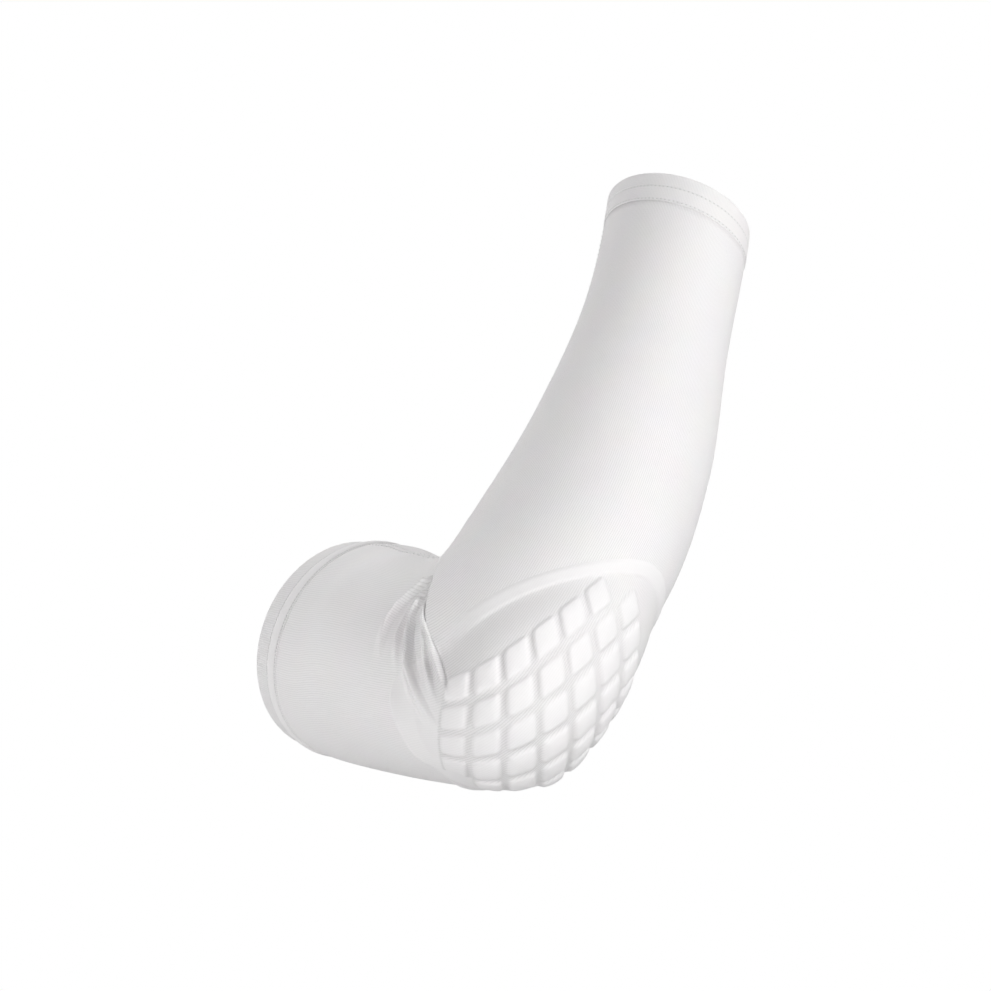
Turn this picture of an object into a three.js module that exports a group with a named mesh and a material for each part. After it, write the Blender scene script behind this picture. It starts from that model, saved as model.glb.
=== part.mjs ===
// Padded elbow sleeve: a knitted tube worn bent, hemmed at both ends, with a pad of diamond foam blocks.
// Millimetres, +Z up. The origin is the centre of the elbow: the upper arm runs along -X and the forearm
// rises, both in the XZ plane. A place along the sleeve runs 0 to 1 over the upper arm, 1 to 2 round the
// elbow and 2 to 3 over the forearm. An angle round it is 0 on the outer line, 90 on the +Y side and 180 on
// the crook line.
import * as THREE from 'three';

const BEND_ANGLE = 82;
const UPPER_ARM_LENGTH = 123.5;
const FOREARM_LENGTH = 223;
const FOREARM_BOW = 29;
const FOREARM_SWAY = -16;
const FOREARM_RIM_TURN = 3;
const CROOK_RADIUS = 6;
const ELBOW_SQUARENESS = 4.1;
const KNIT_WALL = 1.5;
const PIECE_GAP = 0.4;

// Sections: at is the share of the span, inner and outer are half depths from the arm's line towards the
// crook and away from it, width is the half width across the bend.
const UPPER_ARM_SECTIONS = [
  { at: 0.0, inner: 47.5, outer: 41.2, width: 38.8 },
  { at: 0.5, inner: 48.5, outer: 44.6, width: 39.5 },
  { at: 1.0, inner: 43.2, outer: 43.8, width: 46.5, level: true },
];
const ELBOW_SECTIONS = [
  { at: 0.0, width: 46.5, level: true },
  { at: 0.5, width: 40.2, level: true },
  { at: 1.0, width: 37.8, level: true },
];
const FOREARM_SECTIONS = [
  { at: 0.0, inner: 48.5, outer: 48.0, width: 37.8, level: true },
  { at: 0.33, inner: 40.6, outer: 40.0, width: 36.0 },
  { at: 0.67, inner: 36.2, outer: 31.5, width: 29.8 },
  { at: 1.0, inner: 34.5, outer: 34.5, width: 27.6 },
];

// Folds of the crook: each runs from where they meet beside the crook line and opens out to its own place,
// with a height on each side of the arm.
const FOLDS = [
  { place: 1.295, nearHeight: 1.4, farHeight: 1.2 },
  { place: 1.357, nearHeight: 1.9, farHeight: 1.5 },
  { place: 1.41, nearHeight: 2.2, farHeight: 2.0 },
  { place: 1.468, nearHeight: 2.4, farHeight: 1.8 },
];
const FOLD_HALF_WIDTH = 0.03;
const TROUGH_BEFORE = 0.027;
const TROUGH_AFTER = 0.036;
const FOLD_ANGLES = { start: 210, full: 250, fading: 296, end: 335 };
const FOLDS_MEET = { place: 1.51, angle: 235, openAngle: 295, closeness: 0.65 };
const PAD_CLEAR = { start: 1.1, width: 0.25 };
const FOLDS_REACH = { start: 1.12, full: 1.27, fading: 1.55, end: 1.67 };

// Hems: the knit folded double. Rows are shares of the hem's length from the rim, and rises over the sleeve's
// surface; the middle row is the tape between the two lines of stitching.
const HEM_INSIDE = -2.0;
const HEM_PROFILE = [
  { share: 1.0, rise: 0.1 },
  { share: 0.96, rise: 0.5 },
  { share: 0.92, rise: 0.3 },
  { share: 0.74, rise: 0.8 },
  { share: 0.56, rise: 0.3 },
  { share: 0.1, rise: 0.6 },
  { share: 0.0, rise: -0.3 },
];
const UPPER_ARM_HEM_LENGTH = 18.5;
const FOREARM_HEM_LENGTH = 13.6;

const SEAM_ANGLE = 219;
const SEAM_HALF_WIDTH = 2.2;
const SEAM_THICKNESS = 0.7;

// Pad: an oval panel on the elbow, with a raised border and a lattice of blocks that sits a little twisted.
const PAD_CENTRE_PLACE = 1.658;
const PAD_CENTRE_ANGLE = 6;
const PAD_HALF_LENGTH = 0.3;
const PAD_HALF_ANGLE = 74;
const PAD_TWIST = 0.08;
const PAD_ROUNDNESS = { forearmSide: 2.2, upperArmSide: 1.7 };
const PANEL_GAP = 0.65;
const PANEL_THICKNESS = 1.1;
const PANEL_RINGS = [0.1, 0.2, 0.3, 0.4, 0.5, 0.6, 0.7, 0.8, 0.885, 0.92, 0.97, 1.0];
const BORDER_START = 0.9;
const BORDER_RISE = 0.7;
const BORDER_FADE = { end: -0.5, width: 0.5 };
const PANEL_EDGE_START = 0.98;
const PANEL_EDGE_THICKNESS = 0.5;

const LATTICE_LAST = 6;
const LATTICE_PLACE = 1.585;
const LATTICE_ANGLE = 12.3;
const STEP_ALONG = { place: 0.0512, placeGrowth: 0.0007, angle: -3.49 };
const STEP_AROUND = { angle: 9.76, angleShrink: 0.0204, place: 0.0114 };
const BLOCK_LIMIT = 0.86;
const BLOCK_HALF = 0.385;
const BLOCK_HEIGHT = 2.6;
const BLOCK_SHOULDER = 0.5;
const BLOCK_TOP_SHARE = 0.8;
const BLOCK_CROWN = 0.3;
const BLOCK_CORNER_CUT = 0.3;

const RING_SEGMENTS = 40;
const PANEL_SEGMENTS = 40;
const UPPER_ARM_STATIONS = 6;
const ELBOW_START_STATIONS = { start: 1.08, end: 1.2, count: 3 };
const ELBOW_END_STATIONS = { start: 1.57, end: 2, count: 9 };
const FOREARM_STATIONS = 9;

const KNIT_WHITE = 0xf2f2f2;
const HEM_WHITE = 0xeeeeee;
const SEAM_WHITE = 0xe4e4e4;
const PANEL_WHITE = 0xf4f4f4;
const BLOCK_WHITE = 0xfafafa;
const KNIT_ROUGHNESS = 0.9;

const DEGREES = Math.PI / 180;
const FULL_TURN = 360;

function smooth(value) {
  const share = Math.min(Math.max(value, 0), 1);
  return share * share * (3 - 2 * share);
}

// Reads a column of a section table at a share, with level tangents where a row asks for them.
function readTable(rows, column, share) {
  const tangents = rows.map((row, index) => {
    const before = rows[Math.max(index - 1, 0)];
    const after = rows[Math.min(index + 1, rows.length - 1)];
    return row.level ? 0 : (after[column] - before[column]) / (after.at - before.at);
  });
  let index = 0;
  while (index < rows.length - 2 && share > rows[index + 1].at) index += 1;
  const start = rows[index];
  const end = rows[index + 1];
  const length = end.at - start.at;
  const t = (share - start.at) / length;
  return (1 + 2 * t) * (1 - t) ** 2 * start[column] + t * (1 - t) ** 2 * length * tangents[index]
    + t * t * (3 - 2 * t) * end[column] + t * t * (t - 1) * length * tangents[index + 1];
}

// Directions in the bend plane as (x, z): along each limb and outwards from it.
const bend = BEND_ANGLE * DEGREES;
const alongForearm = new THREE.Vector2(-Math.cos(bend), Math.sin(bend));
const outOfForearm = new THREE.Vector2(Math.sin(bend), Math.cos(bend));
const elbowTurn = Math.PI - bend;
const upperArmEnd = UPPER_ARM_SECTIONS[UPPER_ARM_SECTIONS.length - 1];
const forearmStart = FOREARM_SECTIONS[0];

// Pivot of the crook: the elbow's rings all turn about it.
const pivotZ = upperArmEnd.inner + CROOK_RADIUS;
const pivotX = -(forearmStart.inner + CROOK_RADIUS + pivotZ * outOfForearm.y) / outOfForearm.x;
const pivot = new THREE.Vector2(pivotX, pivotZ);
const upperArmStart = -pivot.x;
const forearmBase = pivot.dot(alongForearm);

// The ring at a place: its point on the crook line, its outward direction, its depth, half width and shift
// in Y.
function ringAt(place) {
  if (place < 1) {
    const inner = readTable(UPPER_ARM_SECTIONS, 'inner', place);
    const outer = readTable(UPPER_ARM_SECTIONS, 'outer', place);
    const width = readTable(UPPER_ARM_SECTIONS, 'width', place);
    const along = UPPER_ARM_LENGTH + (upperArmStart - UPPER_ARM_LENGTH) * place;
    const crook = new THREE.Vector2(-along, inner);
    return { crook, out: new THREE.Vector2(0, -1), depth: inner + outer, width, shift: 0 };
  }
  if (place <= 2) {
    const turn = elbowTurn * (place - 1);
    const out = new THREE.Vector2(Math.sin(turn), -Math.cos(turn));
    const upperReach = upperArmEnd.inner + upperArmEnd.outer + CROOK_RADIUS;
    const foreReach = forearmStart.inner + forearmStart.outer + CROOK_RADIUS;
    const upperPart = (Math.max(-out.y, 0) / upperReach) ** ELBOW_SQUARENESS;
    const forePart = (Math.max(out.dot(outOfForearm), 0) / foreReach) ** ELBOW_SQUARENESS;
    const reach = (upperPart + forePart) ** (-1 / ELBOW_SQUARENESS);
    const width = readTable(ELBOW_SECTIONS, 'width', place - 1);
    const crook = pivot.clone().addScaledVector(out, CROOK_RADIUS);
    return { crook, out, depth: reach - CROOK_RADIUS, width, shift: 0 };
  }
  const share = place - 2;
  const inner = readTable(FOREARM_SECTIONS, 'inner', share);
  const outer = readTable(FOREARM_SECTIONS, 'outer', share);
  const width = readTable(FOREARM_SECTIONS, 'width', share);
  const along = forearmBase + (FOREARM_LENGTH - forearmBase) * share;
  const out = outOfForearm.clone().rotateAround(new THREE.Vector2(), FOREARM_RIM_TURN * DEGREES * share ** 2);
  const crook = alongForearm.clone().multiplyScalar(along);
  crook.addScaledVector(outOfForearm, -FOREARM_BOW * share ** 2).addScaledVector(out, -inner);
  return { crook, out, depth: inner + outer, width, shift: FOREARM_SWAY * share ** 2 };
}

// A point of the sleeve's surface, moved out along its ring's normal.
function surfacePoint(place, angle, rise) {
  const ring = ringAt(place);
  const half = ring.depth / 2;
  const outward = Math.cos(angle * DEGREES);
  const across = Math.sin(angle * DEGREES);
  const normal = new THREE.Vector2(outward / half, across / ring.width).normalize();
  const reach = half + half * outward + rise * normal.x;
  const x = ring.crook.x + reach * ring.out.x;
  const z = ring.crook.y + reach * ring.out.y;
  return new THREE.Vector3(x, ring.shift + ring.width * across + rise * normal.y, z);
}

const roundness = (along) => (along > 0 ? PAD_ROUNDNESS.forearmSide : PAD_ROUNDNESS.upperArmSide);

// How far out a place and angle lie on the pad: 0 at its centre, 1 on its edge.
function padDistance(place, angle) {
  const turned = ((angle - PAD_CENTRE_ANGLE + FULL_TURN * 1.5) % FULL_TURN) - FULL_TURN / 2;
  const around = turned / PAD_HALF_ANGLE;
  const along = (place - PAD_CENTRE_PLACE - PAD_TWIST * around) / PAD_HALF_LENGTH;
  const power = roundness(along);
  return (Math.abs(around) ** power + Math.abs(along) ** power) ** (1 / power);
}

// An angle on either side of the arm as its twin on the near side, from 180 on the crook line to 360.
function nearTwin(angle) {
  const turned = ((angle % FULL_TURN) + FULL_TURN) % FULL_TURN;
  return Math.max(turned, FULL_TURN - turned);
}

// Where a ring of the elbow runs at an angle: the folds' rings draw together towards the crook line.
function gathered(place, angle) {
  const opening = (nearTwin(angle) - FOLDS_MEET.angle) / (FOLDS_MEET.openAngle - FOLDS_MEET.angle);
  const closed = FOLDS_MEET.closeness * (1 - Math.min(Math.max(opening, 0), 1)) ** 2;
  const rising = smooth((place - FOLDS_REACH.start) / (FOLDS_REACH.full - FOLDS_REACH.start));
  const falling = 1 - smooth((place - FOLDS_REACH.fading) / (FOLDS_REACH.end - FOLDS_REACH.fading));
  return place + (FOLDS_MEET.place - place) * closed * rising * falling;
}

// Rise of the folds on a ring, which die out in the crook, on the outer line and at the pad.
function foldRise(place, angle) {
  const twin = nearTwin(angle);
  const near = Math.sin(angle * DEGREES) < 0;
  const starting = smooth((twin - FOLD_ANGLES.start) / (FOLD_ANGLES.full - FOLD_ANGLES.start));
  const ending = 1 - smooth((twin - FOLD_ANGLES.fading) / (FOLD_ANGLES.end - FOLD_ANGLES.fading));
  const clearOfPad = smooth((padDistance(gathered(place, angle), angle) - PAD_CLEAR.start) / PAD_CLEAR.width);
  const ridges = FOLDS.reduce((sum, fold) => {
    const height = near ? fold.nearHeight : fold.farHeight;
    return sum + height * (1 - smooth(Math.abs(place - fold.place) / FOLD_HALF_WIDTH));
  }, 0);
  return ridges * starting * ending * clearOfPad;
}

// A ring of points at a place; rise is a number or a function of the angle.
function ringPoints(place, rise) {
  return Array.from({ length: RING_SEGMENTS }, (_, index) => {
    const angle = (FULL_TURN * index) / RING_SEGMENTS;
    const lift = typeof rise === 'function' ? rise(angle) : rise;
    return surfacePoint(gathered(place, angle), angle, lift);
  });
}

function solid(points, faces) {
  const geometry = new THREE.BufferGeometry();
  const positions = points.flatMap((point) => [point.x, point.y, point.z]);
  geometry.setAttribute('position', new THREE.Float32BufferAttribute(positions, 3));
  geometry.setIndex(faces.flat());
  geometry.computeVertexNormals();
  return geometry;
}

// A hollow tube from rings of its outside and its inside, closed over the wall at both ends.
function tubeSolid(outside, inside) {
  const count = outside[0].length;
  const inner = outside.length * count;
  const faces = [];
  const last = (outside.length - 1) * count;
  for (let j = 0; j < count; j += 1) {
    const k = (j + 1) % count;
    for (let i = 0; i < outside.length - 1; i += 1) {
      const row = i * count;
      const next = row + count;
      faces.push([row + j, row + k, next + k], [row + j, next + k, next + j]);
      faces.push([inner + row + j, inner + next + k, inner + row + k]);
      faces.push([inner + row + j, inner + next + j, inner + next + k]);
    }
    faces.push([k, j, inner + j], [k, inner + j, inner + k]);
    faces.push([last + j, last + k, inner + last + k], [last + j, inner + last + k, inner + last + j]);
  }
  return solid([...outside.flat(), ...inside.flat()], faces);
}

// A closed shape of stacked loops between a middle point under them and a middle point over them.
function loopSolid(bottom, loops, top) {
  const count = loops[0].length;
  const points = [bottom, ...loops.flat(), top];
  const crown = points.length - 1;
  const lastLoop = 1 + (loops.length - 1) * count;
  const faces = [];
  for (let j = 0; j < count; j += 1) {
    const k = (j + 1) % count;
    faces.push([0, 1 + k, 1 + j], [lastLoop + j, lastLoop + k, crown]);
    for (let i = 0; i < loops.length - 1; i += 1) {
      const row = 1 + i * count;
      const next = row + count;
      faces.push([row + j, row + k, next + k], [row + j, next + k, next + j]);
    }
  }
  return solid(points, faces);
}

const group = new THREE.Group();

function addPiece(name, geometry, colour) {
  const material = new THREE.MeshStandardMaterial({ color: colour, roughness: KNIT_ROUGHNESS, metalness: 0 });
  const mesh = new THREE.Mesh(geometry, material);
  mesh.name = name;
  group.add(mesh);
}

// Places at a distance from the two rims.
const fromUpperRim = (distance) => distance / (UPPER_ARM_LENGTH - upperArmStart);
const fromForearmRim = (distance) => 3 - distance / (FOREARM_LENGTH - forearmBase);

function spread(start, end, count) {
  return Array.from({ length: count }, (_, index) => start + ((end - start) * index) / (count - 1));
}

// Stations of the tube: even ones on the limbs, and one on each fold's crest and in each trough.
const foldStations = FOLDS.flatMap((fold) => [fold.place - TROUGH_BEFORE, fold.place]);
foldStations.push(FOLDS[FOLDS.length - 1].place + TROUGH_AFTER);
const sleeveStart = fromUpperRim(UPPER_ARM_HEM_LENGTH + PIECE_GAP);
const sleeveEnd = fromForearmRim(FOREARM_HEM_LENGTH + PIECE_GAP);
const sleeveStations = [
  ...spread(sleeveStart, 1, UPPER_ARM_STATIONS),
  ...spread(ELBOW_START_STATIONS.start, ELBOW_START_STATIONS.end, ELBOW_START_STATIONS.count),
  ...foldStations,
  ...spread(ELBOW_END_STATIONS.start, ELBOW_END_STATIONS.end, ELBOW_END_STATIONS.count),
  ...spread(2, sleeveEnd, FOREARM_STATIONS).slice(1),
];

const outsideRise = (place) => (angle) => foldRise(place, angle);
const insideRise = (place) => (angle) => foldRise(place, angle) / 2 - KNIT_WALL;
const sleeveOutside = sleeveStations.map((place) => ringPoints(place, outsideRise(place)));
const sleeveInside = sleeveStations.map((place) => ringPoints(place, insideRise(place)));
addPiece('sleeve', tubeSolid(sleeveOutside, sleeveInside), KNIT_WHITE);

function hemSolid(length, placeFromRim, fromRim) {
  const rows = fromRim ? [...HEM_PROFILE].reverse() : HEM_PROFILE;
  const places = rows.map((row) => placeFromRim(row.share * length));
  const outside = rows.map((row, index) => ringPoints(places[index], row.rise));
  const inside = places.map((place) => ringPoints(place, HEM_INSIDE));
  return tubeSolid(outside, inside);
}

addPiece('upper_arm_hem', hemSolid(UPPER_ARM_HEM_LENGTH, fromUpperRim, true), HEM_WHITE);
addPiece('forearm_hem', hemSolid(FOREARM_HEM_LENGTH, fromForearmRim, false), HEM_WHITE);

// Flat seam: a strip along the crook side, a loop of four corners at each station.
const seamLoops = sleeveStations.map((place) => {
  const half = (SEAM_HALF_WIDTH / ringAt(place).width) / DEGREES;
  const edgeRises = [foldRise(place, SEAM_ANGLE - half), foldRise(place, SEAM_ANGLE + half)];
  const base = Math.max(...edgeRises) + PIECE_GAP;
  const top = base + SEAM_THICKNESS;
  const corners = [[-half, base], [-half, top], [half, top], [half, base]];
  return corners.map(([turn, rise]) => surfacePoint(gathered(place, SEAM_ANGLE), SEAM_ANGLE + turn, rise));
});

function middle(loop) {
  const sum = loop.reduce((total, point) => total.add(point), new THREE.Vector3());
  return sum.divideScalar(loop.length);
}

const seamEnds = [middle(seamLoops[0]), middle(seamLoops[seamLoops.length - 1])];
addPiece('inner_seam', loopSolid(seamEnds[0], seamLoops, seamEnds[1]), SEAM_WHITE);

// Pad panel: an oval sheet laid on the sleeve, thin at its edge, with the raised border inside it.
function padPoint(distance, direction, rise) {
  const power = 2 / roundness(Math.sin(direction));
  const rounded = (share) => Math.sign(share) * Math.abs(share) ** power;
  const around = distance * rounded(Math.cos(direction));
  const along = distance * rounded(Math.sin(direction));
  const place = PAD_CENTRE_PLACE + PAD_HALF_LENGTH * along + PAD_TWIST * around;
  return surfacePoint(place, PAD_CENTRE_ANGLE + PAD_HALF_ANGLE * around, rise);
}

function panelTop(distance, direction) {
  if (distance > PANEL_EDGE_START) return PANEL_GAP + PANEL_EDGE_THICKNESS;
  const border = smooth((Math.sin(direction) - BORDER_FADE.end) / BORDER_FADE.width);
  return PANEL_GAP + PANEL_THICKNESS + (distance > BORDER_START ? BORDER_RISE * border : 0);
}

function padLoop(distance, riseAt) {
  return Array.from({ length: PANEL_SEGMENTS }, (_, index) => {
    const direction = (2 * Math.PI * index) / PANEL_SEGMENTS;
    return padPoint(distance, direction, riseAt(distance, direction));
  });
}

const panelUnder = PANEL_RINGS.map((distance) => padLoop(distance, () => PANEL_GAP));
const panelOver = PANEL_RINGS.map((distance) => padLoop(distance, panelTop)).reverse();
const panelMiddle = [padPoint(0, 0, PANEL_GAP), padPoint(0, 0, panelTop(0, 0))];
const panelLoops = [...panelUnder, ...panelOver];
addPiece('pad_panel', loopSolid(panelMiddle[0], panelLoops, panelMiddle[1]), PANEL_WHITE);

// Place and angle of a lattice point on the pad, from its row and column.
function latticePoint(row, column, rise) {
  const along = column - row;
  const around = column + row - LATTICE_LAST;
  const placeAlong = STEP_ALONG.place * along + STEP_ALONG.placeGrowth * along ** 2;
  const angleAround = STEP_AROUND.angle * around - STEP_AROUND.angleShrink * around ** 3;
  const place = LATTICE_PLACE + placeAlong + STEP_AROUND.place * around;
  const angle = LATTICE_ANGLE + angleAround + STEP_ALONG.angle * along;
  return { point: surfacePoint(place, angle, rise), distance: padDistance(place, angle) };
}

// A block: a diamond with cut corners, straight-sided to its shoulder and drawn in to a low crown.
const cut = 1 - BLOCK_CORNER_CUT;
const diamond = [[-1, -cut], [-cut, -1], [cut, -1], [1, -cut], [1, cut], [cut, 1], [-cut, 1], [-1, cut]];

function blockSolid(row, column) {
  const base = PANEL_GAP + PANEL_THICKNESS + PIECE_GAP;
  const crown = base + BLOCK_HEIGHT;
  const corner = (r, c, rise) => latticePoint(row + r, column + c, rise).point;
  const loop = (half, rise) => diamond.map(([r, c]) => corner(r * half, c * half, rise));
  const loops = [
    loop(BLOCK_HALF, base),
    loop(BLOCK_HALF, base + BLOCK_SHOULDER * BLOCK_HEIGHT),
    loop(BLOCK_HALF * BLOCK_TOP_SHARE, crown - BLOCK_CROWN),
  ];
  return loopSolid(corner(0, 0, base), loops, corner(0, 0, crown));
}

for (let row = 0; row <= LATTICE_LAST; row += 1) {
  for (let column = 0; column <= LATTICE_LAST; column += 1) {
    if (latticePoint(row, column, 0).distance < BLOCK_LIMIT) {
      addPiece(`pad_block_r${row + 1}_c${column + 1}`, blockSolid(row, column), BLOCK_WHITE);
    }
  }
}

export default group;
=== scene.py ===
import math

import bmesh
import bpy
import numpy as np
from mathutils import Matrix, Vector


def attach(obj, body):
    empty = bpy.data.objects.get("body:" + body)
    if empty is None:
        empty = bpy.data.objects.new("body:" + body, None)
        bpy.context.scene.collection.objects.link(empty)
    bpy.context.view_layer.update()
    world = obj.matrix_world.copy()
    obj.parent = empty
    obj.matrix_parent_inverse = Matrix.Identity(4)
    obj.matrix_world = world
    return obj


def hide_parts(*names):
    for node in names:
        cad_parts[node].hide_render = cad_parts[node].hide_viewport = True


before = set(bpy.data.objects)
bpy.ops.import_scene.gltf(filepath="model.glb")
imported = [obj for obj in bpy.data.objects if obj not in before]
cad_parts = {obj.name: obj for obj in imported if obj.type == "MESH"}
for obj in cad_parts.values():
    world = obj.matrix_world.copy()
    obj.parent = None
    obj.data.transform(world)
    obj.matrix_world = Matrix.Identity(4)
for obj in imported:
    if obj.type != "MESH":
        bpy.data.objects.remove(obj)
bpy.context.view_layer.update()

# Knitted tube: a white nylon and elastane knit, cut as a tapered blank and sewn up into a tube that is open
# at both ends. In the bent form that it is worn in, it is stretched smooth on the forearm and upper arm and
# gathers into sharp folds beside the crook.
BEND = math.radians(82)
UPPER_ARM_LENGTH = 0.1235
FOREARM_LENGTH = 0.223
FOREARM_BOW = 0.029
FOREARM_SWAY = -0.016
FOREARM_RIM_TURN = math.radians(3)
CROOK_RADIUS = 0.006
ELBOW_SQUARENESS = 4.1
ELBOW_OUTER_RADIUS = 0.105
KNIT_WALL = 0.0013
UPPER_ARM_SECTIONS = [
    {"at": 0.0, "inner": 0.0475, "outer": 0.0412, "width": 0.0388, "level": False},
    {"at": 0.5, "inner": 0.0485, "outer": 0.0446, "width": 0.0395, "level": False},
    {"at": 1.0, "inner": 0.0432, "outer": 0.0438, "width": 0.0465, "level": True},
]
ELBOW_SECTIONS = [
    {"at": 0.0, "width": 0.0465, "level": True},
    {"at": 0.5, "width": 0.0402, "level": True},
    {"at": 1.0, "width": 0.0378, "level": True},
]
FOREARM_SECTIONS = [
    {"at": 0.0, "inner": 0.0485, "outer": 0.048, "width": 0.0378, "level": True},
    {"at": 0.33, "inner": 0.0406, "outer": 0.04, "width": 0.036, "level": False},
    {"at": 0.67, "inner": 0.0362, "outer": 0.0315, "width": 0.0298, "level": False},
    {"at": 1.0, "inner": 0.0345, "outer": 0.0345, "width": 0.0276, "level": False},
]
# A fold's line runs over places and angles, as sleeve_points takes them. Its height, half width and overlap
# are in metres, steep is its steep side's share of the half width, and grow and fade are shares of its line.
FOLD_COLUMNS = ("start", "towards", "end", "height", "half_width", "steep", "overlap", "grow", "fade")
FOLD_ROWS = [
    # Ridges that fan out of the crook over the upper arm.
    ((1.57, 256), (1.33, 262), (1.298, 303), 0.0036, 0.0040, 0.4, 0.0006, 0.15, 0.4),
    ((1.53, 263), (1.372, 270), (1.362, 308), 0.0031, 0.0030, 0.4, 0.0006, 0.15, 0.4),
    ((1.51, 267), (1.385, 275), (1.396, 338), 0.0035, 0.0029, 0.4, 0.0006, 0.15, 0.4),
    ((1.402, 294), (1.418, 313), (1.434, 335), 0.0032, 0.0040, 0.4, 0, 0.15, 0.4),
    ((1.51, 268), (1.463, 296), (1.455, 324), 0.0030, 0.0028, 0.4, 0.0003, 0.15, 0.4),
    ((1.49, 272), (1.502, 300), (1.488, 323), 0.0035, 0.0038, 0.35, 0.0003, 0.15, 0.4),
    # The forearm's cloth, which laps over those ridges, and the low swell behind it.
    ((1.53, 306), (1.455, 274), (1.78, 236), 0.0020, 0.0140, 0.18, 0.0042, 0.45, 0.25),
    ((1.58, 262), (1.75, 240), (2.25, 228), 0.0014, 0.0160, 0.8, 0, 0.15, 0.4),
    # Tucks between the ridges.
    ((1.455, 276), (1.41, 292), (1.440, 312), -0.0022, 0.0024, 0.6, 0, 0.15, 0.4),
    ((1.484, 285), (1.514, 301), (1.489, 323), -0.0013, 0.0013, 1, 0, 0.15, 0.4),
    ((1.51, 265), (1.42, 268), (1.350, 295), -0.0015, 0.0022, 1, 0, 0.15, 0.4),
    ((1.462, 271.5), (1.405, 279), (1.385, 296), -0.0011, 0.0014, 1, 0, 0.15, 0.4),
    # The welt along the pad's edge on the upper arm.
    ((1.347, 360), (1.319, 333), (1.374, 300), 0.0032, 0.0065, 0.22, 0.0022, 0.35, 0.3),
]
FOLDS = [dict(zip(FOLD_COLUMNS, values)) for values in FOLD_ROWS]
FOLD_LINE_POINTS = 121
OUTWARD_STEP = 0.001
FOLD_CREST_RADIUS = 0.0003
FOLD_SHARPNESS = 1.3
FOLD_START_WIDTH = 0.7
FOLD_FULL_WIDTH_AT = 0.6
FAR_FOLDS = {"share": 0.45, "overlap": 0.1, "shift": 0.012}
FOLD_REGION = {"start": 1.22, "end": 2.3}
UPPER_HEM_LENGTH = 0.0185
CUFF_LENGTH = 0.0136
WALES = 300
COURSE_HEIGHT = 0.00085


def smooth(value):
    """Eases a share from 0 to 1, level at both ends."""
    share = np.clip(value, 0.0, 1.0)
    return share * share * (3 - 2 * share)


def read_sections(rows, column, share):
    """Smooth values of one column of a table of sections, at shares from 0 to 1. They are level at the rows
    that say so."""
    at = np.array([row["at"] for row in rows])
    value = np.array([row[column] for row in rows])
    before = np.maximum(np.arange(len(rows)) - 1, 0)
    after = np.minimum(np.arange(len(rows)) + 1, len(rows) - 1)
    slope = (value[after] - value[before]) / (at[after] - at[before])
    slope[[row["level"] for row in rows]] = 0
    i = np.clip(np.searchsorted(at, share, side="right") - 1, 0, len(rows) - 2)
    span = at[i + 1] - at[i]
    t = (share - at[i]) / span
    ends = (1 + 2 * t) * (1 - t) ** 2 * value[i] + t * t * (3 - 2 * t) * value[i + 1]
    return ends + span * (t * (1 - t) ** 2 * slope[i] + t * t * (t - 1) * slope[i + 1])


along_forearm = np.array([-math.cos(BEND), math.sin(BEND)])
out_of_forearm = np.array([math.sin(BEND), math.cos(BEND)])
upper_reach = UPPER_ARM_SECTIONS[-1]["inner"] + UPPER_ARM_SECTIONS[-1]["outer"] + CROOK_RADIUS
forearm_reach = FOREARM_SECTIONS[0]["inner"] + FOREARM_SECTIONS[0]["outer"] + CROOK_RADIUS
pivot_z = UPPER_ARM_SECTIONS[-1]["inner"] + CROOK_RADIUS
pivot_x = -(FOREARM_SECTIONS[0]["inner"] + CROOK_RADIUS + pivot_z * out_of_forearm[1]) / out_of_forearm[0]
pivot = np.array([pivot_x, pivot_z])
forearm_base = float(pivot @ along_forearm)
UPPER_SPAN = UPPER_ARM_LENGTH + pivot_x
FOREARM_SPAN = FOREARM_LENGTH - forearm_base
ELBOW_SPAN = ELBOW_OUTER_RADIUS * (math.pi - BEND)


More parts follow.
